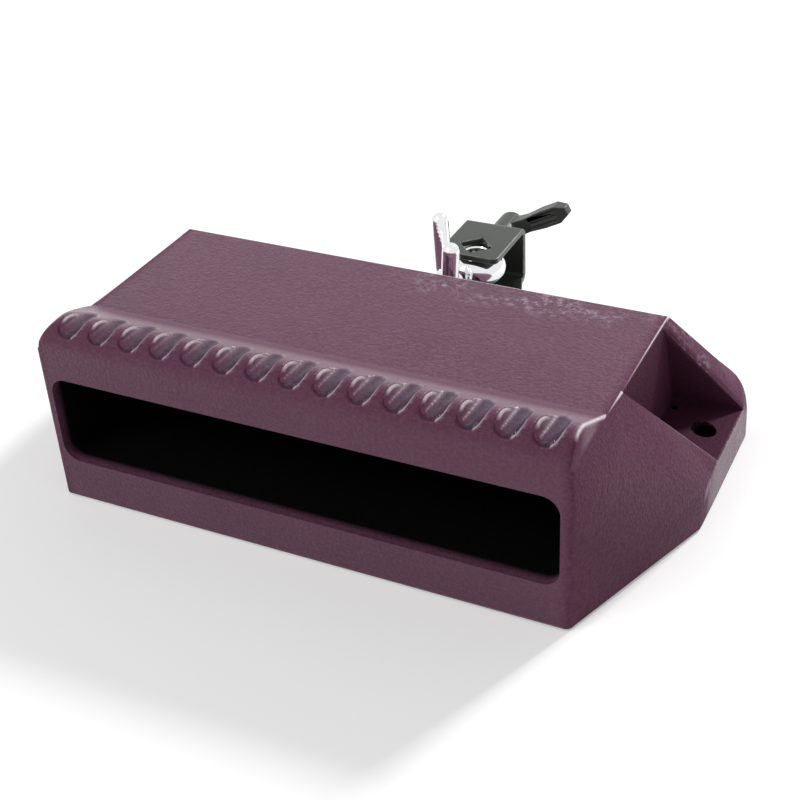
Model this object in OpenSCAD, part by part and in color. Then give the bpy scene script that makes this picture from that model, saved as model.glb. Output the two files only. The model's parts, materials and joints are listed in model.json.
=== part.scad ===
// Woodblock with a notched striking lip and a rod clamp at its back, in millimetres.
// X runs along the block, +Y points to its back and +Z up.
// The origin is the centre of the moulded body's flat underside.

/* [Body] */
// Width of the front face between its two corners
front_w = 200; // [160:1:240]
// Depth of the moulded body from front to back
body_d = 140; // [125:1:165]
// Height of the flat top
top_h = 63.1; // [54:0.1:75]
// Height of the outer edge of the end ears
ear_h = 18; // [14:0.5:24]
// How far each end ear stands out past the front face
ear_reach = 25.2; // [20:0.2:32]
// Depth over which the sides flare out to the ears
flare_d = 67; // [50:1:80]
// How far the flat top stops short of the back edge
top_back_run = 39.4; // [28:0.2:44]
// How far the back face leans over the height of the ears
back_foot_run = 3; // [1:0.5:6]
// Radius of the two upright front corners
front_corner_r = 3; // [2:0.5:8]
// Radius of the upright corners where the sides meet the ears
ear_corner_r = 4; // [2:0.5:8]
// Radius of the upright back corners
back_corner_r = 6; // [3:0.5:14]

/* [Striking lip] */
// Depth of the raised lip from the front face to its crease on the top
lip_run = 34; // [28:1:44]
// Height that the lip would gain at the front if its edge were sharp
lip_rise = 16; // [10:0.2:20]
// Radius of the lip's rounded front edge
lip_r = 9; // [5:0.1:11]
// Radius of the lip's rounded left end, seen from the front
lip_end_r = 22; // [17:0.5:30]
// Distance between two notches
notch_pitch = 12.65; // [11:0.05:16]
// Radius of a notch
notch_r = 4.7; // [3:0.1:5.2]
// Height of a notch's floor above the flat top
notch_floor = 7.6; // [5:0.1:9]
// Least distance from the outermost notches' middles to the ends of the lip
notch_margin = 8.5; // [7:0.5:16]
// How far the row of notches is shifted to the right
notch_shift = 2.8; // [0:0.1:4]

/* [Resonating chamber] */
// Thickness of the floor under the chamber
floor_t = 16.7; // [10:0.1:20]
// Thickness of the roof over the chamber
roof_t = 11.2; // [7:0.1:14]
// Thickness of the two end walls of the chamber
end_wall = 3.3; // [3:0.1:8]
// Least thickness of the wall behind the chamber
back_wall = 20; // [10:1:30]
// Radius of the chamber's corners, seen from the front
mouth_r = 6.5; // [2:0.5:10]

/* [Ear pockets] */
// Height of the pocket's floor at the ear's outer edge
pocket_z = 17.8; // [12:0.1:18]
// How far the pocket's floor rises toward its inner wall
pocket_rise = 4.2; // [0:0.1:8]
// Distance of the pocket's front wall from the front face, at its inner end
pocket_front = 48.6; // [45:0.2:58]
// How far the front wall runs back on its way out to the ear's edge
pocket_slant = 36; // [20:1:40]
// Distance of the pocket's back wall from the back edge, at its inner end by the floor
pocket_back = 29; // [20:0.5:34]
// Angle by which the back wall turns backward on its way out to the ear's edge
pocket_skew = 14.5; // [0:0.5:25]
// How far the pocket's back wall leans forward at the height of the flat top
pocket_lean = 17; // [12:1:28]
// Diameter of the screw hole in each ear
ear_hole_d = 8; // [5:0.1:9]
// Width of the chamfer round the screw hole
ear_chamfer = 0.8; // [0.4:0.1:1.5]
// Distance of the screw holes from the back edge
ear_hole_back = 40.5; // [34:0.5:46]
// Diameter of the small blind dimple beside the pocket's inner wall
dimple_d = 2.6; // [1.5:0.1:4]
// Depth of the small blind dimple
dimple_depth = 2.5; // [1:0.1:5]
// Distance of the small blind dimple from the back edge
dimple_back = 34; // [28:0.5:38]

/* [Clamp bracket] */
// Thickness of the bracket's sheet steel
sheet_t = 2.6; // [2:0.1:3.5]
// Width of the bracket's upper flange and back plate
flange_w = 26; // [22:0.5:32]
// Width of the bracket's foot
foot_w = 38; // [34:0.5:46]
// Height of the ledge that the foot lies on
ledge_z = 18; // [12:0.5:22]
// Clear height between the two flanges
throat_h = 20.8; // [18:0.2:26]
// Distance of the rod's axis behind the body's back edge
rod_gap = 21; // [20:0.5:30]
// Distance from the rod's axis to the inside of the back plate
throat_back = 21; // [17:0.5:26]
// Distance from the rod's axis to the upper flange's front edge
flange_nose = 9.5; // [8:0.5:13]
// Inside radius of the bracket's two bends
bend_r = 1.6; // [0.8:0.1:3]
// Radius of the upper flange's corners
flange_corner_r = 2.5; // [1:0.5:5]
// Width of the straight cut across the upper flange's left front corner
flange_cut = 10; // [6:0.5:12]
// Length over which the foot widens behind the rod
foot_flare = 16; // [10:1:20]
// Radius of the largest rod that passes the clamp
rod_hole_r = 5.1; // [4.9:0.05:6.5]
// Radius in the corners of the four-cornered rod holes
rod_hole_corner_r = 0.8; // [0.3:0.1:1.5]

/* [Eye bolt] */
// Outer diameter of the eye
eye_d = 25; // [22:0.5:30]
// Height of the eye
eye_h = 12.6; // [9:0.1:15]
// Distance of the eye bolt's axis below the upper flange
eye_drop = 7.2; // [6.8:0.1:10]
// Diameter of the eye bolt's threaded shank
shank_d = 6.35; // [5:0.05:8]
// Thread pitch of both screws
pitch = 1.27; // [0.8:0.01:1.75]
// Radial clearance of the eye bolt's shank in the back plate
slide_clear = 0.08; // [0.05:0.01:0.1]
// Radial clearance of a thread in its insert
thread_clear = 0.05; // [0.02:0.01:0.1]

/* [T-handle] */
// Reach of each wing from the handle's axis
wing_reach = 31.5; // [26:0.5:38]
// Diameter of the handle's hub
hub_d = 12.5; // [12:0.5:18]
// Length of the handle's hub
hub_l = 16; // [14:0.5:20]
// Height of a wing at its widest
wing_h = 8; // [7:0.1:10]
// Height of a wing at its neck
wing_neck_h = 6.6; // [5:0.1:7.5]
// Depth of a wing from front to back at its root
wing_t = 8; // [6:0.1:9]
// How much thinner a wing is on each side at its grip than at its root
grip_taper = 0.8; // [0:0.1:1.5]
// Angle of the wings from level, as photographed
wing_turn = 28; // [0:1:90]
// Depth of the grip grooves along the wings
grip_depth = 0.7; // [0.3:0.1:1]
// Width of a grip groove
grip_w = 1.1; // [0.6:0.1:1.6]
// Outer diameter of the handle's threaded insert
handle_insert_d = 9; // [8:0.1:10]
// Length of the handle's threaded insert
handle_insert_l = 13; // [10:0.5:13.5]
// Outer diameter of the washer in front of the handle
washer_d = 13; // [11:0.5:18]
// Thickness of both washers
washer_t = 1.6; // [1:0.1:2]
// Gap between a turning piece and the washer beside it
face_gap = 0.1; // [0.05:0.01:0.2]

/* [Wing bolt] */
// Distance of the wing bolt's axis from the body's back edge
bolt_back = 9; // [8:0.5:12]
// Diameter of the wing bolt's hub
bolt_hub_d = 13; // [11:0.5:15]
// Height of the wing bolt's hub
bolt_hub_h = 21.5; // [18:0.5:26]
// Diameter of a prong
prong_d = 7; // [5.5:0.1:8]
// Distance of a prong's rounded tip from the bolt's axis
prong_tip = 13.7; // [11:0.1:14.5]
// Distance of a prong's root from the bolt's axis
prong_root = 7.3; // [5:0.1:8]
// Height of the prong tips' centres above the hub's top
prong_rise = 18.8; // [14:0.2:24]
// Thickness of the web between the prongs
web_t = 5; // [3:0.1:6]
// Angle of the prongs from the X axis, as photographed
prong_turn = -57; // [-90:1:90]
// Outer diameter of the washer under the wing bolt
bolt_washer_d = 16; // [13.5:0.5:20]
// Outer diameter of the threaded insert in the ledge
ledge_insert_d = 9.6; // [8.5:0.1:12]
// Length of the threaded insert in the ledge
ledge_insert_l = 14; // [9:0.5:15]
// Length of the wing bolt's shank below its hub
bolt_shank_l = 15.5; // [13:0.5:17]
// Radial clearance of the wing bolt in the foot and in the washers
bolt_clear = 0.25; // [0.15:0.05:0.5]
// Clearance between the foot and the pocket it lies in
seat_clear = 0.4; // [0.2:0.1:1]

/* [Hidden] */

// Overrun of every cut past the face that it opens
over = 2;
// Facets of round faces
round_n = 96;
// How far a corner's circle passes the flats beside it, so that it crosses them cleanly
tangent_pass = 0.002;

// Where the front and the back of the body lie
front_y = -body_d / 2;
back_y = body_d / 2;
// Half the overall width over the ears
half_w = front_w / 2 + ear_reach;
// Height of the lip's imagined sharp edge
lip_h = top_h + lip_rise;
// How many notches fit the lip, and where the first one lies
notch_n = floor((front_w - 2 * notch_margin - 2 * notch_shift) / notch_pitch) + 1;
notch_x0 = notch_shift - (notch_n - 1) * notch_pitch / 2;
notch_z = top_h + notch_floor + notch_r;

// The wing bolt's axis, and the pocket at the back that takes the foot
bolt_y = back_y - bolt_back;
seat_r = foot_w / 2 + seat_clear;

// The chamber
chamber_w = front_w - 2 * end_wall;
chamber_h = top_h - floor_t - roof_t;
chamber_d = bolt_y - seat_r - back_wall - front_y;

// Share of the ear's reach at which its screw hole lies
ear_hole_share = 0.64;
ear_hole_x = front_w / 2 + ear_reach * ear_hole_share;
// The dimple lies one of its own diameters away from the pocket's inner wall
dimple_x = front_w / 2 + dimple_d;

// The bracket, from its foot upward and from the rod backward
foot_top = ledge_z + sheet_t;
flange_z = foot_top + throat_h;
rod_y = back_y + rod_gap;
plate_y = rod_y + throat_back;
plate_back = plate_y + sheet_t;
eye_z = flange_z - eye_drop;
shank_hole_r = shank_d / 2 + slide_clear;
thread_r = shank_d / 2 + thread_clear;
bolt_hole_r = shank_d / 2 + bolt_clear;

// The T-handle, from the washer backward
handle_y = plate_back + washer_t + face_gap;
handle_end = handle_y + hub_l;
// Share of the hub's length at which the wings' middle lies
wing_place_share = 0.62;
wing_y = handle_y + hub_l * wing_place_share;

// The wing bolt, from the washer upward
bolt_seat = foot_top + washer_t + face_gap;

// Takes a corner off a flat outline: p is the corner, a and b its neighbours, r the radius.
module corner_cut(p, a, b, r) {
    u = (a - p) / norm(a - p);
    v = (b - p) / norm(b - p);
    half = acos(u * v) / 2;
    c = p + (u + v) / norm(u + v) * (r - tangent_pass) / sin(half);
    t1 = p + u * r / tan(half);
    t2 = p + v * r / tan(half);
    difference() {
        polygon([c, c + 2 * (t1 - c), c + 2 * (p - c), c + 2 * (t2 - c)]);
        translate(c) circle(r = r, $fn = round_n);
    }
}

// Outline of the body seen from above, with its six rounded upright corners.
module plan_outline() {
    p = [[-front_w / 2, front_y], [front_w / 2, front_y], [half_w, front_y + flare_d],
         [half_w, back_y], [-half_w, back_y], [-half_w, front_y + flare_d]];
    r = [front_corner_r, front_corner_r, ear_corner_r, back_corner_r, back_corner_r,
         ear_corner_r];
    difference() {
        polygon(p);
        for (i = [0 : 5]) corner_cut(p[i], p[(i + 5) % 6], p[(i + 1) % 6], r[i]);
    }
}

// Cross-section from front to back: lip, flat top and leaning back. Drawn as [y, z].
module side_outline() {
    nose = [front_y, lip_h];
    crease = [front_y + lip_run, top_h];
    difference() {
        polygon([[front_y, 0], [back_y, 0], [back_y - back_foot_run, ear_h],
                 [back_y - top_back_run, top_h], crease, nose]);
        corner_cut(nose, [front_y, 0], crease, lip_r);
    }
}

// Outline seen from the front: steep slopes up from the ears, and the lip above the flat
// top with its upright right end and its rounded left end.
module front_outline() {
    end_x = -front_w / 2 + sqrt(pow(lip_end_r, 2) - pow(lip_end_r - lip_rise, 2));
    difference() {
        polygon([[-half_w, 0], [half_w, 0], [half_w, ear_h], [front_w / 2, top_h],
                 [front_w / 2, lip_h], [-front_w / 2, lip_h], [-front_w / 2, top_h],
                 [-half_w, ear_h]]);
        difference() {
            translate([-half_w, top_h]) square([half_w + end_x, lip_rise + over]);
            translate([end_x, lip_h - lip_end_r + tangent_pass])
                circle(r = lip_end_r, $fn = 2 * round_n);
        }
    }
}

// Lays an outline drawn as [y, z] out along X, centred.
module along_x(length) {
    translate([-length / 2, 0, 0]) rotate([90, 0, 90]) linear_extrude(length) children();
}

// Lays an outline drawn as [x, z] out from front to back between two places.
module along_y(from, to) {
    translate([0, to, 0]) rotate([90, 0, 0]) linear_extrude(to - from) children();
}

// A rectangle with round corners, centred.
module round_rect(w, h, r) {
    union() {
        square([w - 2 * r, h], center = true);
        square([w, h - 2 * r], center = true);
        for (x = [-1, 1], y = [-1, 1])
            translate([x * (w / 2 - r), y * (h / 2 - r)]) circle(r = r, $fn = round_n);
    }
}

// The pocket cut into the slope of the right ear, with its screw hole and dimple.
module ear_pocket() {
    inner = front_w / 2;
    outer = half_w + over;
    slant = pocket_slant * (outer - inner) / ear_reach;
    inner_z = pocket_z + pocket_rise;
    outer_z = pocket_z - pocket_rise * over / ear_reach;
    hole_z = pocket_z + pocket_rise * (1 - ear_hole_share);
    intersection() {
        linear_extrude(lip_h)
            polygon([[inner, front_y + pocket_front], [outer, front_y + pocket_front + slant],
                     [outer, back_y], [inner, back_y]]);
        along_y(front_y, back_y)
            polygon([[inner, inner_z], [outer, outer_z], [outer, lip_h], [inner, lip_h]]);
        translate([inner, back_y - pocket_back, 0]) rotate(pocket_skew) along_x(4 * ear_reach)
            polygon([[-body_d, 0], [pocket_lean * inner_z / (top_h - inner_z), 0],
                     [-2 * pocket_lean, 2 * top_h - inner_z], [-body_d, 2 * top_h - inner_z]]);
    }
    translate([ear_hole_x, back_y - ear_hole_back, 0]) {
        translate([0, 0, -over]) cylinder(d = ear_hole_d, h = hole_z + 2 * over, $fn = round_n);
        translate([0, 0, hole_z - ear_chamfer])
            cylinder(d1 = ear_hole_d, d2 = ear_hole_d + 4 * ear_chamfer, h = 2 * ear_chamfer,
                     $fn = round_n);
    }
    translate([dimple_x, back_y - dimple_back, inner_z - dimple_depth])
        cylinder(d = dimple_d, h = dimple_depth + over, $fn = round_n);
}

// The round-ended pocket at the back, where the foot and the wing bolt sit.
module seat_pocket() {
    translate([0, bolt_y, ledge_z]) {
        cylinder(r = seat_r, h = lip_h, $fn = round_n);
        translate([-seat_r, 0, 0]) cube([2 * seat_r, bolt_back + over, lip_h]);
    }
    translate([0, bolt_y, ledge_z - ledge_insert_l])
        cylinder(d = ledge_insert_d, h = ledge_insert_l + over, $fn = round_n);
}

module block_body() {
    color("mediumorchid") difference() {
        intersection() {
            linear_extrude(lip_h) plan_outline();
            along_x(2 * half_w) side_outline();
            along_y(front_y, back_y) front_outline();
        }
        translate([0, 0, floor_t + chamber_h / 2])
            along_y(front_y - over, front_y + chamber_d)
                round_rect(chamber_w, chamber_h, mouth_r);
        for (i = [0 : notch_n - 1])
            translate([notch_x0 + i * notch_pitch, 0, notch_z])
                along_y(front_y - over, front_y + lip_run) circle(r = notch_r, $fn = round_n);
        ear_pocket();
        mirror([1, 0, 0]) ear_pocket();
        seat_pocket();
    }
}

module ledge_insert() {
    color("gold") translate([0, bolt_y, ledge_z - ledge_insert_l]) difference() {
        cylinder(d = ledge_insert_d, h = ledge_insert_l, $fn = round_n);
        translate([0, 0, -over])
            cylinder(r = thread_r, h = ledge_insert_l + 2 * over, $fn = round_n);
    }
}

// Four-cornered hole that a rod is drawn into.
module rod_hole() {
    rotate(45) round_rect(2 * rod_hole_r, 2 * rod_hole_r, rod_hole_corner_r);
}

// One of the two bends between the flanges and the back plate, drawn as [y, z].
module bend_outline(turn) {
    rotate(turn) intersection() {
        difference() {
            circle(r = bend_r + sheet_t, $fn = round_n);
            circle(r = bend_r, $fn = round_n);
        }
        square(bend_r + sheet_t);
    }
}

module clamp_bracket() {
    bend_y = plate_y - bend_r;
    nose_y = rod_y - flange_nose;
    nose = [[-flange_w / 2 + flange_cut, nose_y], [flange_w / 2, nose_y], [flange_w / 2, bend_y],
            [-flange_w / 2, bend_y], [-flange_w / 2, nose_y + flange_cut]];
    color("dimgray") union() {
        translate([0, 0, flange_z]) linear_extrude(sheet_t) difference() {
            polygon(nose);
            for (i = [0, 1, 4])
                corner_cut(nose[i], nose[(i + 4) % 5], nose[(i + 1) % 5], flange_corner_r);
            translate([0, rod_y]) rod_hole();
        }
        translate([0, 0, ledge_z]) linear_extrude(sheet_t) difference() {
            union() {
                polygon([[-flange_w / 2, bend_y], [-foot_w / 2, bend_y - foot_flare],
                         [-foot_w / 2, bolt_y], [foot_w / 2, bolt_y],
                         [foot_w / 2, bend_y - foot_flare], [flange_w / 2, bend_y]]);
                translate([0, bolt_y]) circle(d = foot_w, $fn = round_n);
            }
            translate([0, rod_y]) rod_hole();
            translate([0, bolt_y]) circle(r = bolt_hole_r, $fn = round_n);
        }
        difference() {
            along_y(plate_y, plate_back) translate([-flange_w / 2, foot_top + bend_r])
                square([flange_w, throat_h - 2 * bend_r]);
            along_y(plate_y - over, plate_back + over) translate([0, eye_z])
                circle(r = shank_hole_r, $fn = round_n);
        }
        along_x(flange_w) translate([bend_y, flange_z - bend_r]) bend_outline(0);
        along_x(flange_w) translate([bend_y, foot_top + bend_r]) bend_outline(-90);
    }
}

// The eye's bar, seen in section: flat inside for the rod and round outside.
module eye_section() {
    union() {
        translate([eye_d / 2 - eye_h / 2, 0]) intersection() {
            circle(d = eye_h, $fn = round_n);
            translate([0, -eye_h / 2]) square([eye_h, eye_h]);
        }
        translate([rod_hole_r, -eye_h / 2])
            square([eye_d / 2 - eye_h / 2 - rod_hole_r, eye_h]);
    }
}

module eye_bolt() {
    shank_from = rod_y + (rod_hole_r + eye_d / 2) / 2;
    shank_to = handle_end - over;
    color("silver") union() {
        translate([0, rod_y, eye_z]) rotate_extrude($fn = round_n) eye_section();
        along_y(shank_from, shank_to) translate([0, eye_z]) circle(d = shank_d, $fn = round_n);
    }
}

module handle_washer() {
    color("lightgray") along_y(plate_back, plate_back + washer_t) translate([0, eye_z])
        difference() {
            circle(d = washer_d, $fn = round_n);
            circle(r = shank_hole_r, $fn = round_n);
        }
}

// One wing, seen along the handle's axis, from its root to its bevelled tip.
module wing_face() {
    neck_share = 0.36;
    wide_share = 0.62;
    bevel_share = 0.86;
    tip_share = 0.45;
    polygon([[0, -wing_h / 2], [wing_reach * neck_share, -wing_neck_h / 2],
             [wing_reach * wide_share, -wing_h / 2], [wing_reach * bevel_share, -wing_h / 2],
             [wing_reach, -wing_h / 2 * tip_share], [wing_reach, wing_h / 2 * tip_share],
             [wing_reach * bevel_share, wing_h / 2], [wing_reach * wide_share, wing_h / 2],
             [wing_reach * neck_share, wing_neck_h / 2], [0, wing_h / 2]]);
}

// One wing, seen from its own side: thick at the root, with a level grip and a thin tip.
module wing_depth() {
    grip_share = 0.4;
    bevel_share = 0.86;
    tip_share = 0.28;
    grip_y = wing_t / 2 - grip_taper;
    polygon([[0, -wing_t / 2], [wing_reach * grip_share, -grip_y],
             [wing_reach * bevel_share, -grip_y], [wing_reach, -wing_t * tip_share],
             [wing_reach, wing_t * tip_share], [wing_reach * bevel_share, grip_y],
             [wing_reach * grip_share, grip_y], [0, wing_t / 2]]);
}

// One wing with its grip grooves, lying along +X round the handle's axis.
module wing() {
    groove_from_share = 0.42;
    groove_to_share = 0.84;
    difference() {
        intersection() {
            along_y(-wing_t, wing_t) wing_face();
            translate([0, 0, -wing_h]) linear_extrude(2 * wing_h) wing_depth();
        }
        for (side = [-1, 1], row = [-1, 0, 1])
            translate([wing_reach * groove_from_share,
                       side * (wing_t / 2 - grip_taper) - grip_depth,
                       row * 2 * grip_w - grip_w / 2])
                cube([wing_reach * (groove_to_share - groove_from_share), 2 * grip_depth,
                      grip_w]);
    }
}

module t_handle() {
    color("dimgray") difference() {
        translate([0, 0, eye_z]) rotate([0, -wing_turn, 0]) union() {
            along_y(handle_y, handle_end) circle(d = hub_d, $fn = round_n);
            translate([0, wing_y, 0]) wing();
            translate([0, wing_y, 0]) rotate([0, 180, 0]) wing();
        }
        along_y(handle_y - over, handle_y + handle_insert_l) translate([0, eye_z])
            circle(d = handle_insert_d, $fn = round_n);
        along_y(handle_y - over, handle_end + over) translate([0, eye_z])
            circle(r = shank_hole_r, $fn = round_n);
    }
}

module handle_insert() {
    color("gold") along_y(handle_y, handle_y + handle_insert_l) translate([0, eye_z])
        difference() {
            circle(d = handle_insert_d, $fn = round_n);
            circle(r = thread_r, $fn = round_n);
        }
}

module bolt_washer() {
    color("lightgray") translate([0, bolt_y, foot_top]) linear_extrude(washer_t) difference() {
        circle(d = bolt_washer_d, $fn = round_n);
        circle(r = bolt_hole_r, $fn = round_n);
    }
}

// One prong, leaning out from the hub's top to its round tip.
module prong() {
    lean = atan((prong_tip - prong_root) / prong_rise);
    length = norm([prong_tip - prong_root, prong_rise]);
    translate([prong_root, 0, 0]) rotate([0, lean, 0]) union() {
        cylinder(d = prong_d, h = length, $fn = round_n);
        sphere(d = prong_d, $fn = round_n);
        translate([0, 0, length]) sphere(d = prong_d, $fn = round_n);
    }
}

// The fork between the hub and the prongs, with its round saddle. Drawn as [x, z].
module fork_outline() {
    difference() {
        polygon([[-bolt_hub_d / 2, -bolt_hub_d / 2], [bolt_hub_d / 2, -bolt_hub_d / 2],
                 [prong_root + prong_d / 2, 0], [prong_root + prong_d / 2, prong_d / 2],
                 [-prong_root - prong_d / 2, prong_d / 2], [-prong_root - prong_d / 2, 0]]);
        translate([0, prong_d]) circle(r = prong_root, $fn = round_n);
    }
}

module wing_bolt() {
    color("silver") translate([0, bolt_y, bolt_seat]) rotate(prong_turn) union() {
        cylinder(d = bolt_hub_d, h = bolt_hub_h, $fn = round_n);
        translate([0, 0, -bolt_shank_l])
            cylinder(d = shank_d, h = bolt_shank_l + over, $fn = round_n);
        translate([0, 0, bolt_hub_h]) {
            along_y(-web_t / 2, web_t / 2) fork_outline();
            prong();
            mirror([1, 0, 0]) prong();
        }
    }
}

block_body();
ledge_insert();
clamp_bracket();
eye_bolt();
handle_washer();
t_handle();
handle_insert();
bolt_washer();
wing_bolt();
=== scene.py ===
"""Looks of a moulded woodblock with a rod clamp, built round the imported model, in metres."""
import json
import math

import bmesh
import bpy
import numpy as np
from mathutils import Matrix, Vector

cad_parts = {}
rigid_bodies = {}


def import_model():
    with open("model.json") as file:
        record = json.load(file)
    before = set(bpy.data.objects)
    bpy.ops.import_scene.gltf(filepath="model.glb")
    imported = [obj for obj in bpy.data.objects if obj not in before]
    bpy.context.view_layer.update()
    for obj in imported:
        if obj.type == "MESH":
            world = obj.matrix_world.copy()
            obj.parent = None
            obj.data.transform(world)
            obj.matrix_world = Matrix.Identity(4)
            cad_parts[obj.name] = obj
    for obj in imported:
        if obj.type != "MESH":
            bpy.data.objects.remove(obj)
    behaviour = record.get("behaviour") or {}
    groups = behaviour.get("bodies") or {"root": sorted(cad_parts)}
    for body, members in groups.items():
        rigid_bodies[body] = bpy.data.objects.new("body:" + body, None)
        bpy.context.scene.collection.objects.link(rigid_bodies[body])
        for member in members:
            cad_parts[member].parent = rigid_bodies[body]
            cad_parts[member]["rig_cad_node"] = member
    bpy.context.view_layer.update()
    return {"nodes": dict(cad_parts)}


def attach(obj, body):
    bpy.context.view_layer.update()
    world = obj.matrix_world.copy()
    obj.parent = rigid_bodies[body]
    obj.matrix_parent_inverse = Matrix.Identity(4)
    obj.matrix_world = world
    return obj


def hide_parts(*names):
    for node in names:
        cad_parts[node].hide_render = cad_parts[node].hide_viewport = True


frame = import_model()
scene = bpy.context.scene
MM = 0.001
X, Y, Z = 0, 1, 2

# Marks on the meshes: pale rims of wear and painted highlight, smooth scoops, painted grey
# reflection in the scoops, painted shade in the pockets, soft forms
PALED, SCOOPED, GREYED, POCKET, MARK = "paled", "scooped", "greyed", "pocket", "mark"
# The values of the last one
LIP, SHOULDER, EAR_BACK = 1, 2, 3

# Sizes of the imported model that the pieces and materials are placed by, in millimetres
FRONT_W, BODY_D, TOP_H, EAR_H = 200.0, 140.0, 63.1, 18.0
EAR_REACH, FLARE_D = 25.2, 67.0
LIP_RUN, LIP_RISE, LIP_R, LIP_END_R = 34.0, 16.0, 9.0, 22.0
FRONT_CORNER_R, TOP_BACK_RUN, BACK_FOOT_RUN = 3.0, 39.4, 3.0
SHOULDER_END, EAR_BACK_FROM = 13.5, 50.0
NOTCH_N, NOTCH_PITCH, NOTCH_R, NOTCH_FLOOR, NOTCH_SHIFT = 15, 12.65, 4.7, 7.6, 2.8
# In front of this y the notches turn left and down, by these lengths over this run
NOTCH_TURN_Y, NOTCH_TURN_RUN, NOTCH_LEFT, NOTCH_DOWN = -52.0, 17, 1.3, 1.2
POCKET_SKEW, POCKET_LEAN, POCKET_INNER_Z, POCKET_RISE = 14.5, 17.0, 22.0, 4.2
POCKET_FRONT_Y, POCKET_SLANT = -21.4, 36.0
FLOOR_T, ROOF_T, END_WALL = 16.7, 11.2, 3.3
ROD_Y, EYE_Z, EYE_D, EYE_H, ROD_HOLE_R = 91.0, 34.2, 25.0, 12.6, 5.1
SHANK_R, PITCH, SHANK_TO = 3.175, 1.27, 130.3
EYE_EDGE, SHANK_IN_EYE, CREST_CLEAR = 0.5, 2.5, 0.08
THREAD_DEPTH, THREAD_SIDES, THREAD_STEPS = 0.6, 40, 8


# Meshes


def new_object(name, mesh):
    made = bpy.data.objects.new(name, mesh)
    scene.collection.objects.link(made)
    return made


def cad_bmesh(node, weld, lip_weld=0):
    """A CAD node's mesh with its slivers welded and its flat faces whole."""
    bm = bmesh.new()
    bm.from_mesh(frame["nodes"][node].data)
    bmesh.ops.remove_doubles(bm, verts=bm.verts, dist=weld * MM)
    if lip_weld:
        lip = [v for v in bm.verts if v.co.z > (TOP_H - 3) * MM]
        bmesh.ops.remove_doubles(bm, verts=lip, dist=lip_weld * MM)
    flat = math.radians(1.0)
    bmesh.ops.dissolve_limit(bm, angle_limit=flat, verts=bm.verts, edges=bm.edges)
    for name in (PALED, SCOOPED, GREYED):
        bm.verts.layers.float.new(name)
    return bm


def as_object(bm, name):
    mesh = bpy.data.meshes.new(name)
    bm.to_mesh(mesh)
    bm.free()
    return new_object(name, mesh)


def sharp_edges(bm, limit=25):
    return [e for e in bm.edges
            if len(e.link_faces) == 2 and e.calc_face_angle(0) > math.radians(limit)]


def borders(bm, one, other, near=0.04):
    """Edges that part two faces with the given normals, on either side of the block."""
    found = []
    for edge in sharp_edges(bm, 5):
        pair = [Vector((abs(f.normal.x), f.normal.y, f.normal.z)) for f in edge.link_faces]
        for a, b in (pair, pair[::-1]):
            if (a - one).length < near and (b - other).length < near:
                found.append(edge)
                break
    return found


def round_edges(bm, edges, width, segments=3, how_pale=1.0):
    """Rounds the edges, and marks the middle of each outward rounding as a pale rim."""
    done = bmesh.ops.bevel(bm, geom=edges, offset=width * MM, offset_type="OFFSET",
                           segments=segments, profile=0.5, affect="EDGES",
                           clamp_overlap=False, loop_slide=True)
    paled = bm.verts.layers.float.get(PALED)
    strips = set(done["faces"])
    bm.normal_update()
    for vert in done["verts"]:
        turns = [e for e in vert.link_edges
                 if len(e.link_faces) == 2 and e.calc_face_angle(0) > 0.1]
        outward = all(e.is_convex for e in turns)
        vert[paled] = how_pale * (outward and all(face in strips for face in vert.link_faces))


def smooth(obj):
    mesh = obj.data
    mesh.shade_smooth()
    mesh.set_sharp_from_angle(angle=math.radians(40))
    keep = obj.modifiers.new("normals", "WEIGHTED_NORMAL")
    keep.keep_sharp = True


def stand_for(obj, node, body):
    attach(obj, body)
    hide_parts(node)


def dress(name, node, body, width):
    """A softened copy of a CAD node that stands for it."""
    bm = cad_bmesh(node, 0.1)
    round_edges(bm, sharp_edges(bm), width)
    obj = as_object(bm, name)
    smooth(obj)
    stand_for(obj, node, body)
    return obj


# Materials


def new_material(name):
    mat = bpy.data.materials.new(name)
    mat.use_nodes = True
    tree = mat.node_tree
    return mat, tree, tree.nodes["Principled BSDF"]


def place(tree):
    return tree.nodes.new("ShaderNodeTexCoord").outputs["Object"]


def noise(tree, scale, detail=3.0, rough=0.5):
    tex = tree.nodes.new("ShaderNodeTexNoise")
    tex.inputs["Scale"].default_value = scale
    tex.inputs["Detail"].default_value = detail
    tex.inputs["Roughness"].default_value = rough
    tree.links.new(place(tree), tex.inputs["Vector"])
    return tex.outputs["Fac"]


def spread(tree, value, low, high, from_low=0.3, from_high=0.7):
    node = tree.nodes.new("ShaderNodeMapRange")
    node.inputs["From Min"].default_value = from_low
    node.inputs["From Max"].default_value = from_high
    node.inputs["To Min"].default_value = low
    node.inputs["To Max"].default_value = high
    tree.links.new(value, node.inputs["Value"])
    return node.outputs["Result"]


def tint(tree, value, a, b):
    """Mixes two colours; each is a tuple or another node's output."""
    node = tree.nodes.new("ShaderNodeMix")
    node.data_type = "RGBA"
    for socket, colour in ((node.inputs[6], a), (node.inputs[7], b)):
        if isinstance(colour, tuple):
            socket.default_value = (*colour, 1)
        else:
            tree.links.new(colour, socket)
    tree.links.new(value, node.inputs[0])
    return node.outputs[2]


def math_node(tree, operation, a, b):
    node = tree.nodes.new("ShaderNodeMath")
    node.operation = operation
    for socket, value in ((node.inputs[0], a), (node.inputs[1], b)):
        if isinstance(value, (int, float)):
            socket.default_value = value
        else:
            tree.links.new(value, socket)
    return node.outputs[0]


def multiply(tree, first, *others):
    """The product of several node outputs or numbers."""
    for other in others:
        first = math_node(tree, "MULTIPLY", first, other)
    return first


def bump(tree, height, shader, strength, distance, under=None):
    node = tree.nodes.new("ShaderNodeBump")
    node.inputs["Strength"].default_value = strength
    node.inputs["Distance"].default_value = distance
    tree.links.new(height, node.inputs["Height"])
    if under:
        tree.links.new(under, node.inputs["Normal"])
    tree.links.new(node.outputs["Normal"], shader.inputs["Normal"])
    return node.outputs["Normal"]


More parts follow.
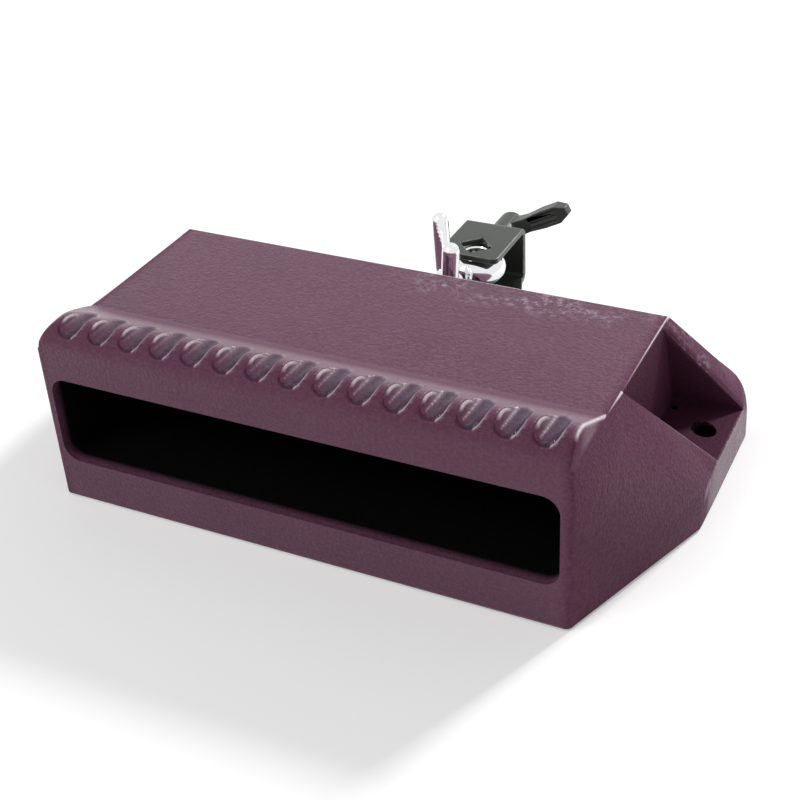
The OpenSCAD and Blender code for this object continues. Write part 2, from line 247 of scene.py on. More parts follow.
def marked(tree, name):
    mark = tree.nodes.new("ShaderNodeAttribute")
    mark.attribute_name = name
    return mark.outputs["Fac"]


def pale_rims(tree, patches, least=0.3):
    """1 on the pale rims, broken up by a noise of the given scale."""
    return multiply(tree, marked(tree, PALED), spread(tree, noise(tree, patches), least, 1))


def plain_stuff(name, a, b, rim_colour, rough, metallic=0.0, grain=900.0, depth=0.00002,
                strength=0.3, mottle=30.0):
    """A surface with mottled colour, uneven gloss, a fine grain and pale rims of wear and
    painted highlight.
    """
    mat, tree, shader = new_material(name)
    mottled = tint(tree, spread(tree, noise(tree, mottle), 0, 1), a, b)
    tree.links.new(tint(tree, pale_rims(tree, 260), mottled, rim_colour),
                   shader.inputs["Base Color"])
    tree.links.new(spread(tree, noise(tree, mottle * 4), rough[0], rough[1]),
                   shader.inputs["Roughness"])
    shader.inputs["Metallic"].default_value = metallic
    bump(tree, noise(tree, grain, 2.0), shader, strength, depth)
    return mat


def inside(tree, axis, low, high, blur):
    """1 between two places along an axis, in millimetres, with soft ends."""
    split = tree.nodes.new("ShaderNodeSeparateXYZ")
    tree.links.new(place(tree), split.inputs[0])
    at = split.outputs[axis]
    rise = spread(tree, at, 0, 1, (low - blur) * MM, low * MM)
    fall = spread(tree, at, 1, 0, high * MM, (high + blur) * MM)
    return multiply(tree, rise, fall)


# Colours of the block: its plastic, the tops of the pebbles, and black painted as shade inside
# the chamber
PLUM_DEEP, PLUM_FULL, PEBBLE_TOP = (0.112, 0.039, 0.072), (0.126, 0.046, 0.083), (0.2, 0.1, 0.15)
CHAMBER_SHADE_BLACK = (0.004, 0.004, 0.004)
# Colours of the light and shade that painted_light lays over them; the rims and the specks are
# partly wear and scuffs as well
CROWN_PALE, FRONT_RED = (0.3, 0.21, 0.25), (0.115, 0.032, 0.066)
SCOOP_DEEP, SCOOP_GREY = (0.05, 0.026, 0.05), (0.1, 0.065, 0.1)
SPECK_PALE, RIM_PALE = (0.4, 0.3, 0.38), (0.75, 0.64, 0.7)
POCKET_SHADE, HOLE_SHADE = (0.065, 0.019, 0.038), (0.008, 0.004, 0.006)
# Where they lie, as an axis, two places along it and the length of the soft ends
LIP_Z, CROWN_Y = (Z, TOP_H + 3, 90, 3), (Y, -56, -50, 7)
FRONT_Y, FRONT_Z = (Y, -80, -66, 5), (Z, 70, 90, 4)
SPECKS_X, SPECKS_Y, SPECKS_Z = (X, 20, 128, 30), (Y, 21, 60, 9), (Z, 42, 90, 10)


def plum_colour(tree, pebbles):
    """The plastic's own colour: faint clouds, and paler tops on the pebbles."""
    clouds = spread(tree, noise(tree, 45, 5.0), 0, 1)
    tops = multiply(tree, spread(tree, pebbles, 0, 1, 0.35, 0.75), 0.45)
    return tint(tree, tops, tint(tree, clouds, PLUM_DEEP, PLUM_FULL), PEBBLE_TOP)


def painted_light(tree, base, lip, front, specks, rims):
    """Lays light and shade of the photograph over the colour, by place on the block.

    The lamps don't make these, so they stay when the light or the view changes: a painted
    highlight on the lip's crown, a redder front painted as less sheen, painted grey reflection
    in the scoops, pale specks, painted shade in the pockets and darker in their holes, and pale
    rims with a painted reflection streak in each notch. The specks are partly scuffs and partly
    painted sheen, the rims partly wear and partly painted highlight.
    """
    crown = multiply(tree, inside(tree, *CROWN_Y), lip, 0.7)
    base = tint(tree, crown, base, CROWN_PALE)
    base = tint(tree, multiply(tree, front, 0.8), base, FRONT_RED)
    greys = tint(tree, spread(tree, noise(tree, 900, 2.0), 0, 1), SCOOP_DEEP, SCOOP_GREY)
    base = tint(tree, multiply(tree, marked(tree, GREYED), 0.85), base, greys)
    base = tint(tree, multiply(tree, specks, 0.8), base, SPECK_PALE)
    pocket = marked(tree, POCKET)
    base = tint(tree, pocket, base, POCKET_SHADE)
    base = tint(tree, spread(tree, pocket, 0, 1, 1, 2), base, HOLE_SHADE)
    return tint(tree, rims, base, RIM_PALE)


def pale_specks(tree):
    """1 on the specks at the right of the top and on the right ear: scuffs and painted sheen."""
    zone = multiply(tree, inside(tree, *SPECKS_Y), inside(tree, *SPECKS_X),
                    inside(tree, *SPECKS_Z))
    patches = spread(tree, noise(tree, 60, 3.0), 0, 1, 0.38, 0.55)
    specks = spread(tree, noise(tree, 420, 4.0, 0.7), 0, 1, 0.48, 0.66)
    return multiply(tree, zone, patches, specks)


def painted_chamber_shade(tree):
    """1 where the chamber is painted black as shade: inside it, from a little way in from its
    mouth.
    """
    wide, deep = FRONT_W / 2 - END_WALL + 1, BODY_D / 2
    return multiply(tree, inside(tree, X, -wide, wide, 0.1),
                    inside(tree, Y, 5 - deep, deep - 45, 3.0),
                    inside(tree, Z, FLOOR_T - 1, TOP_H - ROOF_T + 1, 0.1))


def dull_places(tree, lip, front, chamber_shade_mask):
    """How dull the block is: most on the ears and in the chamber's painted shade, less on the
    lip and its front.
    """
    top_end, ear_end = FRONT_W / 2 - 4, FRONT_W / 2 + EAR_REACH - 0.3
    dull = spread(tree, inside(tree, X, -top_end, top_end, 3.4), 1, 0, 0, 1)
    dull = multiply(tree, dull, inside(tree, X, -ear_end, ear_end, 0.2))
    for other in (chamber_shade_mask, multiply(tree, front, 0.6), multiply(tree, lip, 0.3)):
        dull = math_node(tree, "MAXIMUM", dull, other)
    return dull


def plum_plastic():
    """Pebbled plum plastic, painted black as shade in the chamber, with other painted light and
    dull places.
    """
    mat, tree, shader = new_material("moulded_plum_plastic")
    pebbles = noise(tree, 800, 2.0, 0.6)
    lip = inside(tree, *LIP_Z)
    front = multiply(tree, inside(tree, *FRONT_Y), inside(tree, *FRONT_Z))
    specks = pale_specks(tree)
    rims = pale_rims(tree, 300, 0.75)
    chamber_shade_mask = painted_chamber_shade(tree)
    base = painted_light(tree, plum_colour(tree, pebbles), lip, front, specks, rims)
    # Black painted as shade inside the chamber, over everything else
    tree.links.new(tint(tree, chamber_shade_mask, base, CHAMBER_SHADE_BLACK), shader.inputs["Base Color"])
    rough = spread(tree, noise(tree, 120), 0.26, 0.33)
    for glossier in (specks, rims):
        rough = math_node(tree, "SUBTRACT", rough, multiply(tree, glossier, 0.1))
    dull = dull_places(tree, lip, front, chamber_shade_mask)
    rough = math_node(tree, "MAXIMUM", rough, multiply(tree, dull, 0.5))
    tree.links.new(rough, shader.inputs["Roughness"])
    gloss = spread(tree, dull, 0.2, 0.02, 0, 1)
    gloss = math_node(tree, "ADD", gloss, multiply(tree, rims, 0.5))
    tree.links.new(gloss, shader.inputs["Specular IOR Level"])
    pebbled = multiply(tree, pebbles, spread(tree, marked(tree, SCOOPED), 1, 0.2, 0, 1))
    grain = bump(tree, pebbled, shader, 0.9, 0.00045)
    bump(tree, specks, shader, 0.5, 0.00012, under=grain)
    return mat


PLUM = plum_plastic()
STEEL = plain_stuff("black_painted_steel", (0.026, 0.032, 0.026), (0.036, 0.043, 0.036),
                    (0.3, 0.3, 0.28), (0.28, 0.38), grain=1500.0)
CHROME = plain_stuff("polished_chrome", (0.78, 0.79, 0.8), (0.86, 0.87, 0.88), (0.9, 0.9, 0.9),
                     (0.05, 0.1), metallic=1.0, grain=400.0, depth=0.00001, strength=0.1)
ZINC = plain_stuff("bright_zinc", (0.52, 0.53, 0.55), (0.66, 0.67, 0.68), (0.8, 0.8, 0.8),
                   (0.24, 0.36), metallic=1.0, grain=1200.0)
BLACK = plain_stuff("black_moulded_plastic", (0.026, 0.03, 0.026), (0.04, 0.045, 0.04),
                    (0.1, 0.1, 0.1), (0.33, 0.45), grain=1100.0, depth=0.00004, strength=0.4)
BRASS = plain_stuff("machined_brass", (0.5, 0.32, 0.11), (0.62, 0.42, 0.16), (0.8, 0.6, 0.3),
                    (0.25, 0.35), metallic=1.0)


def finish_with(obj, mat):
    obj.data.materials.clear()
    obj.data.materials.append(mat)


# Pieces


# Widths over which the lip's ends and the notches' rims are rounded, in millimetres
END_SOFT, RIM_SOFT = 1.6, 0.9
# The same for the shoulder between an ear's slope and the flared side
SHOULDER_SOFT = 2.2
# The same for the upright back corner of an ear and for the edge above it
CORNER_SOFT, EDGE_SOFT = 14.0, 4.0
# How near to a line the rims lie that are painted paler as highlights, and how pale these become
RIM_NEAR, TOP_RIM_PALE, POCKET_RIM_PALE = 0.6, 1.0, 0.5
# Widths of the plain roundings, as a width, its segments and how pale it is
POCKET_ROUND, EDGE_ROUND = (3.2, 6, 0.3), (0.7, 3, 0.15)
# The least share of a soft width, where it fades out
LEAST = 0.02
# Edges of the triangles on the soft forms: at most the first, and the second at soft edges
LIP_GRID, SHOULDER_GRID, EAR_BACK_GRID = (1.3, 0.55), (40.0, 1.5), (40.0, 1.8)


def soft_max(a, b, width):
    """The larger of two distances, with the edge between them rounded over a width."""
    return np.maximum(a, b) + np.maximum(width - np.abs(a - b), 0) ** 2 / (4 * width)


def rounded_wedge(u, v, one, other, corner, radius):
    """Distance to two planes that meet in an exact arc, drawn in the plane of u and v."""
    half = math.acos(-one.dot(other)) / 2
    centre = corner - (one + other).normalized() * radius / math.sin(half)
    du, dv = u - centre.x, v - centre.y
    area = one.cross(other)
    alpha = (du * other.y - dv * other.x) / area
    beta = (one.x * dv - one.y * du) / area
    flat = np.maximum((u - corner.x) * one.x + (v - corner.y) * one.y,
                      (u - corner.x) * other.x + (v - corner.y) * other.y)
    return np.where((alpha > 0) & (beta > 0), np.hypot(du, dv) - radius, flat)


def notch_middle(x):
    """The x of the notch that lies nearest to each point."""
    first = NOTCH_SHIFT - (NOTCH_N - 1) * NOTCH_PITCH / 2
    return first + NOTCH_PITCH * np.clip(np.round((x - first) / NOTCH_PITCH), 0, NOTCH_N - 1)


def lip_forms(p, soft=1.0):
    """Signed distances to the plain lip and to its notches, for points in millimetres."""
    x, y, z = p.T
    front_y, lip_h = -BODY_D / 2, TOP_H + LIP_RISE
    slope = Vector((LIP_RISE, LIP_RUN)).normalized()
    flare = Vector((FLARE_D, -EAR_REACH)).normalized()
    bar = rounded_wedge(y, z, Vector((-1, 0)), slope, Vector((front_y, lip_h)), LIP_R)
    corner = rounded_wedge(np.abs(x), y, Vector((0, -1)), flare, Vector((FRONT_W / 2, front_y)),
                           FRONT_CORNER_R)
    bar = np.maximum(bar, corner)
    end_x = -FRONT_W / 2 + math.sqrt(LIP_END_R ** 2 - (LIP_END_R - LIP_RISE) ** 2)
    left = np.where(x < end_x, np.hypot(x - end_x, z - lip_h + LIP_END_R) - LIP_END_R, z - lip_h)
    bar = soft_max(soft_max(bar, left, END_SOFT * soft), x - FRONT_W / 2, END_SOFT * soft)
    toward_front = np.clip((NOTCH_TURN_Y - y) / NOTCH_TURN_RUN, 0, 1.2)
    notch = NOTCH_R - np.hypot(x - notch_middle(x) + NOTCH_LEFT * toward_front,
                               z - TOP_H - NOTCH_FLOOR - NOTCH_R + NOTCH_DOWN * toward_front)
    return bar, notch


def lip_distance(p, soft=1.0):
    """Signed distance to the notched lip with soft rims."""
    return soft_max(*lip_forms(p, soft), RIM_SOFT * soft)


def lip_paleness(p):
    """How pale the lip's rims are: most on its right end and at the front right of each notch.

    The light in the photograph catches these rims, and here it is painted on them.
    """
    x, y, z = p.T
    beside = np.where(x > notch_middle(x) + 1, np.clip((-61 - y) / 3, 0.2, 1), 0)
    beside = beside * (x < notch_middle(x) + NOTCH_R + 0.6)
    return np.where(x > FRONT_W / 2 - 2 * END_SOFT, np.clip((y + 66) / 2, 0, 1), beside)


def notch_gleam(p):
    """A pale streak inside each notch, under the back of its left rim.

    It is a reflection in the photograph, and here it is painted on.
    """
    x, y, z = p.T
    bar, notch = lip_forms(p)
    depth = notch - bar
    across = np.clip((depth - 0.3) / 0.5, 0, 1) * np.clip((1.9 - depth) / 0.5, 0, 1)
    along = np.clip((y + 65) / 2, 0, 1) * np.clip((-56.5 - y) / 2, 0, 1)
    return across * along * np.clip((notch_middle(x) - 0.5 - x) / 0.8, 0, 1)


def shoulder_distance(p, soft=1.0):
    """Signed distance to the flared sides, slopes and ear ends, with soft shoulders."""
    x, y, z = np.abs(p[:, 0]), p[:, 1], p[:, 2]
    flare = Vector((FLARE_D, -EAR_REACH)).normalized()
    slope = Vector((TOP_H - EAR_H, EAR_REACH)).normalized()
    corner = rounded_wedge(x, y, Vector((0, -1)), flare, Vector((FRONT_W / 2, -BODY_D / 2)),
                           FRONT_CORNER_R)
    side = soft_max(corner, x - FRONT_W / 2 - EAR_REACH, SHOULDER_SOFT * soft)
    over = (x - FRONT_W / 2) * slope.x + (z - TOP_H) * slope.y
    fade = np.clip((TOP_H - z) / 14, LEAST, 1) * np.clip((SHOULDER_END - y) / 8, LEAST, 1)
    return soft_max(side, over, SHOULDER_SOFT * soft * fade)


def ear_back_distance(p, soft=1.0):
    """Signed distance to the back end of an ear, with its widely rounded upright corner."""
    x, y, z = np.abs(p[:, 0]) - FRONT_W / 2, p[:, 1], p[:, 2]
    back = Vector((EAR_H, BACK_FOOT_RUN)).normalized()
    upper = Vector((TOP_H - EAR_H, TOP_BACK_RUN - BACK_FOOT_RUN)).normalized()
    slope = Vector((TOP_H - EAR_H, EAR_REACH)).normalized()
    out = np.clip(x / 12, LEAST, 1)
    down = np.clip((TOP_H - z) / 12, LEAST, 1)
    behind = np.clip((y - EAR_BACK_FROM) / 6, LEAST, 1)
    rim = soft_max(x * slope.x + (z - TOP_H) * slope.y,
                   (y - BODY_D / 2 + TOP_BACK_RUN) * upper.x + (z - TOP_H) * upper.y,
                   EDGE_SOFT * soft * down)
    side = soft_max(x - EAR_REACH, (y - BODY_D / 2) * back.x + z * back.y,
                    CORNER_SOFT * soft * out * behind)
    return soft_max(side, rim, SHOULDER_SOFT * 2 * soft * out * behind)


def rounding(distance, p):
    """How far a soft-edged form lies inside the same form with sharp edges."""
    return distance(p) - distance(p, 0.01)


def slope_of(distance, p, step=0.02):
    """Outward normals of a form at the given points."""
    grad = np.stack([distance(p + d) - distance(p - d) for d in np.eye(3) * step], 1)
    return grad / np.maximum(np.linalg.norm(grad, axis=1, keepdims=True), 1e-9)


def cut_across(bm, faces, at, normal):
    """Cuts the faces along a plane through a point in millimetres."""
    edges = list({e for f in faces for e in f.edges})
    verts = list({v for e in edges for v in e.verts})
    bmesh.ops.bisect_plane(bm, geom=faces + edges + verts, dist=0.01 * MM,
                           plane_co=Vector(at) * MM, plane_no=normal)


def refine(bm, pick, distance, grid):
    """Splits the picked faces into triangles, small ones where the form's edges are soft."""
    longest, at_rims = grid
    for _ in range(9):
        bmesh.ops.triangulate(bm, faces=pick())
        edges = list({e for f in pick() for e in f.edges})
        ends = np.array([(*e.verts[0].co, *e.verts[1].co) for e in edges]) / MM
        length = np.linalg.norm(ends[:, :3] - ends[:, 3:], axis=1)
        middle = (ends[:, :3] + ends[:, 3:]) / 2
        split = length > np.where(rounding(distance, middle) > 0.006, at_rims, longest)
        if not split.any():
            return
        bmesh.ops.subdivide_edges(bm, edges=[e for e, s in zip(edges, split) if s], cuts=1)


def settle(bm, faces, distance, soft, top_z, mark, how_pale=lambda p: 0.25):
    """Lays the faces' corners on the soft-edged form and marks the faces and pale rims.

    Corners on the underside stay there. Those above top_z are free, or those below it where
    it is given as a negative number.
    """
    paled = bm.verts.layers.float.get(PALED)
    marks = bm.faces.layers.int.get(MARK)
    for face in faces:
        face[marks] = mark
    verts = list({v for f in faces for v in f.verts})
    p = np.array([v.co for v in verts]) / MM
    rims = rounding(distance, p)
    free = (rims > 0.001) & (top_z * (p[:, 2] - abs(top_z)) > 0)
    standing = p[:, 2] < 0.02
    for _ in range(12):
        p[free] -= slope_of(distance, p[free]) * np.clip(distance(p[free]), -0.4, 0.4)[:, None]
        p[:, 2] = np.where(standing, 0, np.maximum(p[:, 2], 0))
    rims = np.clip(rims * 4 / soft, 0, 1) * how_pale(p)
    for vert, at, rim, moved in zip(verts, p, rims, free):
        if moved:
            vert.co = Vector(at) * MM
            vert[paled] = rim


def soft_lip(bm, cut_z):
    """Softens the notched lip, which is all that lies above cut_z."""
    low = (cut_z - 0.02) * MM

    def pick():
        return [f for f in bm.faces if min(v.co.z for v in f.verts) > low]

    cut_across(bm, bm.faces[:], (0, 0, cut_z), (0, 0, 1))
    for k in range(1, 6):
        cut_across(bm, pick(), (0, k * LIP_RUN / 6 - BODY_D / 2, 0), (0, 1, 0))
    for k in range(-NOTCH_N, NOTCH_N + 1):
        cut_across(bm, pick(), (NOTCH_SHIFT + k * NOTCH_PITCH / 2, 0, 0), (1, 0, 0))
    refine(bm, pick, lip_distance, LIP_GRID)
    settle(bm, pick(), lip_distance, RIM_SOFT, cut_z + 0.05, LIP, lip_paleness)
    scooped, greyed, paled = (bm.verts.layers.float.get(name)
                              for name in (SCOOPED, GREYED, PALED))
    verts = list({v for f in pick() for v in f.verts})
    p = np.array([v.co for v in verts]) / MM
    bar, notch = lip_forms(p)
    share = np.clip((notch - bar) / 0.8 + 0.3, 0, 1)
    # Grey painted as a reflection in the scoops, stronger toward the right of each
    grey = share * np.clip((p[:, 0] - notch_middle(p[:, 0]) + 3.2) / 2.2, 0.15, 1)
    # Each notch's painted reflection streak joins the pale rims
    for vert, inner, dim, gleam in zip(verts, share, grey, notch_gleam(p)):
        vert[scooped] = inner
        vert[greyed] = dim
        vert[paled] = max(vert[paled], gleam)


def soft_shoulders(bm, cut_z):
    """Softens the edges between the ears' slopes and the flared sides."""
    def pick():
        found = []
        for face in bm.faces:
            middle = face.calc_center_median() / MM
            if (middle.y > SHOULDER_END or middle.z > cut_z or abs(middle.x) < FRONT_W / 2 - 3
                    or abs(face.normal.x) < 0.2):
                continue
            p = np.array([v.co for v in face.verts]) / MM
            if np.abs(shoulder_distance(p, 0.01)).max() < 0.3:
                found.append(face)
        return found

    hull = [f for f in bm.faces if abs(f.calc_center_median().x) > (FRONT_W / 2 - 2) * MM]
    cut_across(bm, hull, (0, SHOULDER_END, 0), (0, 1, 0))
    thin = {v for f in pick() for v in f.verts if v.co.z < (cut_z - 2) * MM}
    bmesh.ops.remove_doubles(bm, verts=list(thin), dist=0.3 * MM)
    refine(bm, pick, shoulder_distance, SHOULDER_GRID)
    settle(bm, pick(), shoulder_distance, SHOULDER_SOFT * 8, -(cut_z - 0.5), SHOULDER)


def soft_ear_backs(bm):
    """Rounds the back ends of both ears."""
    def pick():
        found = []
        for face in bm.faces:
            middle = face.calc_center_median() / MM
            if (abs(middle.x) > FRONT_W / 2 and middle.y > EAR_BACK_FROM and middle.z > 0.01
                    and face.normal.z > -0.5 and face.normal.y > -0.3):
                found.append(face)
        return found

    for side in (-1, 1):
        cut_across(bm, [f for f in bm.faces if f.normal.y > 0.1], (side * FRONT_W / 2, 0, 0),
                   (1, 0, 0))
    outside = [f for f in bm.faces if abs(f.calc_center_median().x) > FRONT_W / 2 * MM
               and abs(f.normal.x) > 0.2]
    cut_across(bm, outside, (0, EAR_BACK_FROM, 0), (0, 1, 0))
    bmesh.ops.remove_doubles(bm, verts=list({v for f in pick() for v in f.verts}),
                             dist=0.3 * MM)
    refine(bm, pick, ear_back_distance, EAR_BACK_GRID)
    settle(bm, pick(), ear_back_distance, SHOULDER_SOFT * 16, -TOP_H, EAR_BACK)


def exact_normals(obj):
    """Fixes the weighted normals, with exact ones on the marked soft-edged faces."""
    graph = bpy.context.evaluated_depsgraph_get()
    shown = bpy.data.meshes.new_from_object(obj.evaluated_get(graph))
    normals = np.empty(len(shown.loops) * 3)
    shown.corner_normals.foreach_get("vector", normals)
    normals = normals.reshape(-1, 3)
    points = np.empty(len(shown.vertices) * 3)
    shown.vertices.foreach_get("co", points)
    points = points.reshape(-1, 3) / MM
    corners = np.empty(len(shown.loops), int)
    shown.loops.foreach_get("vertex_index", corners)
    marks = np.array([m.value for m in shown.attributes[MARK].data])
    marks = np.repeat(marks, [f.loop_total for f in shown.polygons])
    forms = {LIP: lip_distance, SHOULDER: shoulder_distance, EAR_BACK: ear_back_distance}
    for mark, distance in forms.items():
        here = marks == mark
        normals[here] = slope_of(distance, points[corners[here]])
    # The lip's right end runs softly into the slope below it
    slope = np.array((TOP_H - EAR_H, 0, EAR_REACH))
    slope = slope / np.linalg.norm(slope)
    near = np.clip(1 - (points[corners, 2] - TOP_H) / 7, 0, 1) ** 2
    near = (near * ((marks == LIP) & (normals[:, X] > 0.6)))[:, None]
    normals = normals * (1 - near) + slope * near
    # Slivers keep their own flat normal where the exact one would turn away from it
    flat = np.array([f.normal for f in shown.polygons])
    flat = np.repeat(flat, [f.loop_total for f in shown.polygons], axis=0)
    astray = (normals * flat).sum(axis=1) < 0.7
    normals[astray] = flat[astray]
    obj.modifiers.clear()
    obj.data = shown
    shown.normals_split_custom_set(normals)


def mark_rims_and_pockets(bm):
    """Marks the pockets and their holes for painted shade, and paints two kinds of rims paler as
    highlights.

    These are the edge between top and slope, and the front edge of each pocket.
    """
    pocket = bm.faces.layers.float.new(POCKET)
    paled = bm.verts.layers.float.get(PALED)
    for vert in bm.verts:
        if vert[paled] > 0:
            x, y, z = abs(vert.co.x) / MM - FRONT_W / 2, vert.co.y / MM, vert.co.z / MM
            behind_lip = y > LIP_RUN - BODY_D / 2 - 1
            if abs(x) < 0.8 and abs(z - TOP_H) < RIM_NEAR and behind_lip:
                vert[paled] = TOP_RIM_PALE
            elif x > 0 and abs(y - POCKET_FRONT_Y - POCKET_SLANT * x / EAR_REACH) < RIM_NEAR:
                vert[paled] = POCKET_RIM_PALE
    faces = bm.faces[:]
    at = np.array([f.calc_center_median() for f in faces]) / MM
    out = np.abs(at[:, 0]) - FRONT_W / 2
    hull = np.maximum(shoulder_distance(at), ear_back_distance(at))
    within = (out > -0.5) & (at[:, 2] > 0.5) & (at[:, 2] < TOP_H) & (hull < -0.6)
    within &= at[:, 1] < EAR_BACK_FROM - 2
    floor_z = POCKET_INNER_Z - POCKET_RISE * out / EAR_REACH
    for face, inner, low in zip(faces, within, at[:, 2] < floor_z - 0.3):
        face[pocket] = float(inner) * (1 + low)


def block_shell():
    """The moulded body: soft shoulders on the ears, thin radii elsewhere, and the soft lip."""
    bm = cad_bmesh("block_body", 0.04, 0.2)
    bm.faces.layers.int.new(MARK)
    slope = Vector((TOP_H - EAR_H, 0, EAR_REACH)).normalized()
    flare = Vector((FLARE_D, -EAR_REACH, 0)).normalized()
    turn = math.radians(POCKET_SKEW)
    rise = Vector((TOP_H - POCKET_INNER_Z, POCKET_LEAN)).normalized()
    wall = Vector((rise.x * math.sin(turn), -rise.x * math.cos(turn), -rise.y))
    cut_z = TOP_H + 0.06
    round_edges(bm, borders(bm, slope, wall), *POCKET_ROUND)
    shoulders = borders(bm, slope, flare)
    below = [e for e in sharp_edges(bm) if min(v.co.z for v in e.verts) < cut_z * MM]
    creases = [e for e in below if not e.is_convex
               and all(abs(v.co.z - TOP_H * MM) < 0.1 * MM for v in e.verts)]
    left_sharp = set(shoulders + creases)
    long_ones = [e for e in below if e.calc_length() > 2.5 * MM and e not in left_sharp]
    round_edges(bm, long_ones, *EDGE_ROUND)
    soft_lip(bm, cut_z)
    soft_shoulders(bm, cut_z)
    soft_ear_backs(bm)
    mark_rims_and_pockets(bm)
    obj = as_object(bm, "block_shell")
    smooth(obj)
    exact_normals(obj)
    stand_for(obj, "block_body", "block")
    return obj


def ring(bm, points):
    return [bm.verts.new(p) for p in points]


def skin(bm, loops, closed=False):
    """Quads between neighbouring loops of vertices, each loop closed on itself."""
    pairs = list(zip(loops, loops[1:])) + ([(loops[-1], loops[0])] if closed else [])
    for a, b in pairs:
        for i in range(len(a)):
            j = (i + 1) % len(a)
            bm.faces.new((a[i], a[j], b[j], b[i]))


def threaded_rod(bm, start, end, radius):
    """A rod along Y through the eye's middle, with a rolled thread, in millimetres."""
    loops = []
    steps = round((end - start) / PITCH * THREAD_STEPS)
    for k in range(steps + 1):
        y = start + (end - start) * k / steps
        fade = min(1.0, (y - start) / 1.5, (end - y) / 1.0)
        points = []
        for i in range(THREAD_SIDES):
            turn = i / THREAD_SIDES
            phase = (y / PITCH - turn) % 1.0
            height = max(0.0, min(1.0, 1.5 - abs(phase - 0.5) * 4))
            r = radius - THREAD_DEPTH * (1 - height * max(fade, 0.0))
            points.append((r * math.cos(turn * math.tau) * MM, y * MM,
                           (EYE_Z + r * math.sin(turn * math.tau)) * MM))
        loops.append(ring(bm, points))
    skin(bm, loops)
    bm.faces.new(reversed(loops[0]))
    bm.faces.new(loops[-1])


def eye_bead(bm, around=96):
    """The turned eye: flat inside for the rod, round outside, with broken inner edges."""
    r_out, half = EYE_D / 2, EYE_H / 2
    mid = r_out - half
    section = [(ROD_HOLE_R, -half + EYE_EDGE), (ROD_HOLE_R + EYE_EDGE, -half)]
    section += [(mid + half * math.sin(a), -half * math.cos(a))
                for a in (math.pi * k / 20 for k in range(21))]
    section += [(ROD_HOLE_R + EYE_EDGE, half), (ROD_HOLE_R, half - EYE_EDGE)]
    loops = []
    for i in range(around):
        a = math.tau * i / around
        loops.append(ring(bm, [(r * math.cos(a) * MM, (ROD_Y + r * math.sin(a)) * MM,
                                (EYE_Z + z) * MM) for r, z in section]))
    skin(bm, loops, closed=True)


def eye_bolt():
    """The eye and its threaded shank, whose crests stay clear of the bores' facets."""
    bm = bmesh.new()
    eye_bead(bm)
    threaded_rod(bm, ROD_Y + EYE_D / 2 - SHANK_IN_EYE, SHANK_TO, SHANK_R - CREST_CLEAR)
    bmesh.ops.recalc_face_normals(bm, faces=bm.faces)
    obj = as_object(bm, "eye_bolt_chrome")
    smooth(obj)
    stand_for(obj, "eye_bolt", "eye")
    return obj


def wing_bolt():
    """The cast wing bolt, its fork melted together by a fine remesh."""
    obj = as_object(cad_bmesh("wing_bolt", 0.05), "wing_bolt_chrome")
    melt = obj.modifiers.new("melt", "REMESH")
    melt.mode = "VOXEL"
    melt.voxel_size = 0.4 * MM
    melt.use_smooth_shade = True
    relax = obj.modifiers.new("relax", "SMOOTH")
    relax.factor = 0.5
    relax.iterations = 8
    stand_for(obj, "wing_bolt", "wing")
    return obj


body = block_shell()
bracket = dress("bracket_sheet", "clamp_bracket", "block", 0.45)
eye = eye_bolt()
handle = dress("t_handle_grip", "t_handle", "handle", 0.4)
wing = wing_bolt()
back_washer = dress("handle_washer_zinc", "handle_washer", "block", 0.25)
top_washer = dress("bolt_washer_zinc", "bolt_washer", "washer", 0.25)

finish_with(body, PLUM)
finish_with(bracket, STEEL)
finish_with(eye, CHROME)
finish_with(handle, BLACK)
finish_with(wing, CHROME)
finish_with(back_washer, ZINC)
finish_with(top_washer, ZINC)
for node in ("ledge_insert", "handle_insert"):
    finish_with(frame["nodes"][node], BRASS)


# Studio


def seen_directly(tree):
    """1 for rays that show the white studio itself: camera, glossy and transmission rays."""
    path = tree.nodes.new("ShaderNodeLightPath")
    either = math_node(tree, "MAXIMUM", path.outputs["Is Camera Ray"],
                       path.outputs["Is Glossy Ray"])
    return math_node(tree, "MAXIMUM", either, path.outputs["Is Transmission Ray"])


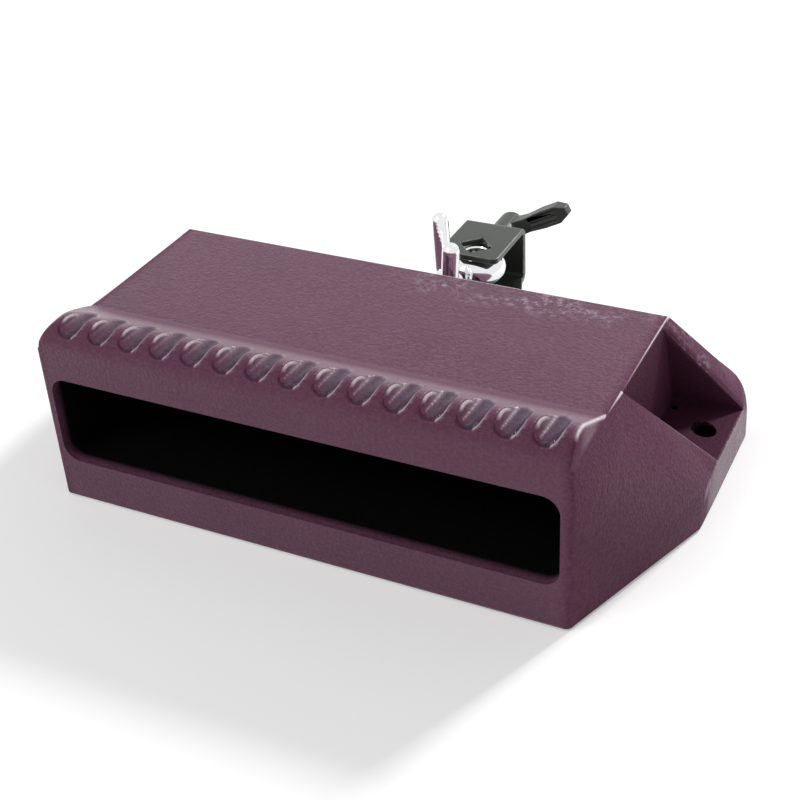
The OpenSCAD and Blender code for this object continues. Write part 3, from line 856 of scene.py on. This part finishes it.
def pale(name, colour, lift):
    """A pale matte surface that keeps shadows and shows as white beyond them."""
    mat, tree, shader = new_material(name)
    nodes, links = tree.nodes, tree.links
    nodes.remove(shader)
    matte = nodes.new("ShaderNodeBsdfDiffuse")
    matte.inputs["Color"].default_value = (*colour, 1)
    glow = nodes.new("ShaderNodeEmission")
    glow.inputs["Strength"].default_value = lift
    both = nodes.new("ShaderNodeAddShader")
    links.new(matte.outputs[0], both.inputs[0])
    links.new(glow.outputs[0], both.inputs[1])
    mix = nodes.new("ShaderNodeMixShader")
    links.new(seen_directly(tree), mix.inputs[0])
    links.new(matte.outputs[0], mix.inputs[1])
    links.new(both.outputs[0], mix.inputs[2])
    links.new(mix.outputs[0], nodes["Material Output"].inputs["Surface"])
    return mat


def floor():
    """A round white floor, one millimetre below the block."""
    bm = bmesh.new()
    bmesh.ops.create_circle(bm, cap_ends=True, radius=8.0, segments=64)
    made = as_object(bm, "studio_floor")
    made.location = (0, 0, -0.001)
    made.data.materials.append(pale("studio_floor_white", (0.82, 0.82, 0.82), 0.3))


def world():
    """A white world that lights the block less than it shows."""
    made = bpy.data.worlds.new("studio_world")
    scene.world = made
    made.use_nodes = True
    tree = made.node_tree
    back = tree.nodes["Background"]
    back.inputs["Color"].default_value = (1, 1, 1, 1)
    tree.links.new(spread(tree, seen_directly(tree), 0.32, 1.0, 0, 1), back.inputs["Strength"])


def area_light(name, at, target, size, power):
    data = bpy.data.lights.new(name, "AREA")
    data.shape = "RECTANGLE"
    data.size, data.size_y = size
    data.energy = power
    made = bpy.data.objects.new(name, data)
    scene.collection.objects.link(made)
    made.location = at
    made.rotation_euler = (Vector(target) - Vector(at)).to_track_quat("-Z", "Y").to_euler()


def camera():
    """The photograph's view, worked out from the block's parallel edges."""
    data = bpy.data.cameras.new("camera")
    data.sensor_width = 36.0
    data.lens = 64.738
    data.shift_y = -0.00125
    data.clip_start, data.clip_end = 0.01, 50.0
    made = bpy.data.objects.new("camera", data)
    scene.collection.objects.link(made)
    right = Vector((0.901, 0.431, -0.0487)).normalized()
    ahead = Vector((-0.3848, 0.7425, -0.5483)).normalized()
    up = right.cross(ahead).normalized()
    right = ahead.cross(up).normalized()
    turn = Matrix((right, up, -ahead)).transposed()
    made.matrix_world = Matrix.Translation((0.2152842, -0.4013243, 0.3210148)) @ turn.to_4x4()
    scene.camera = made


scene.view_settings.view_transform = "Standard"
floor()
world()
area_light("key_light", (-0.6, -0.9, 1.0), (0, 0, 0.03), (0.8, 0.8), 8.0)
area_light("edge_light", (0.5, 1.08, 0.98), (0, 0, 0.05), (0.2, 0.2), 18.0)
camera()
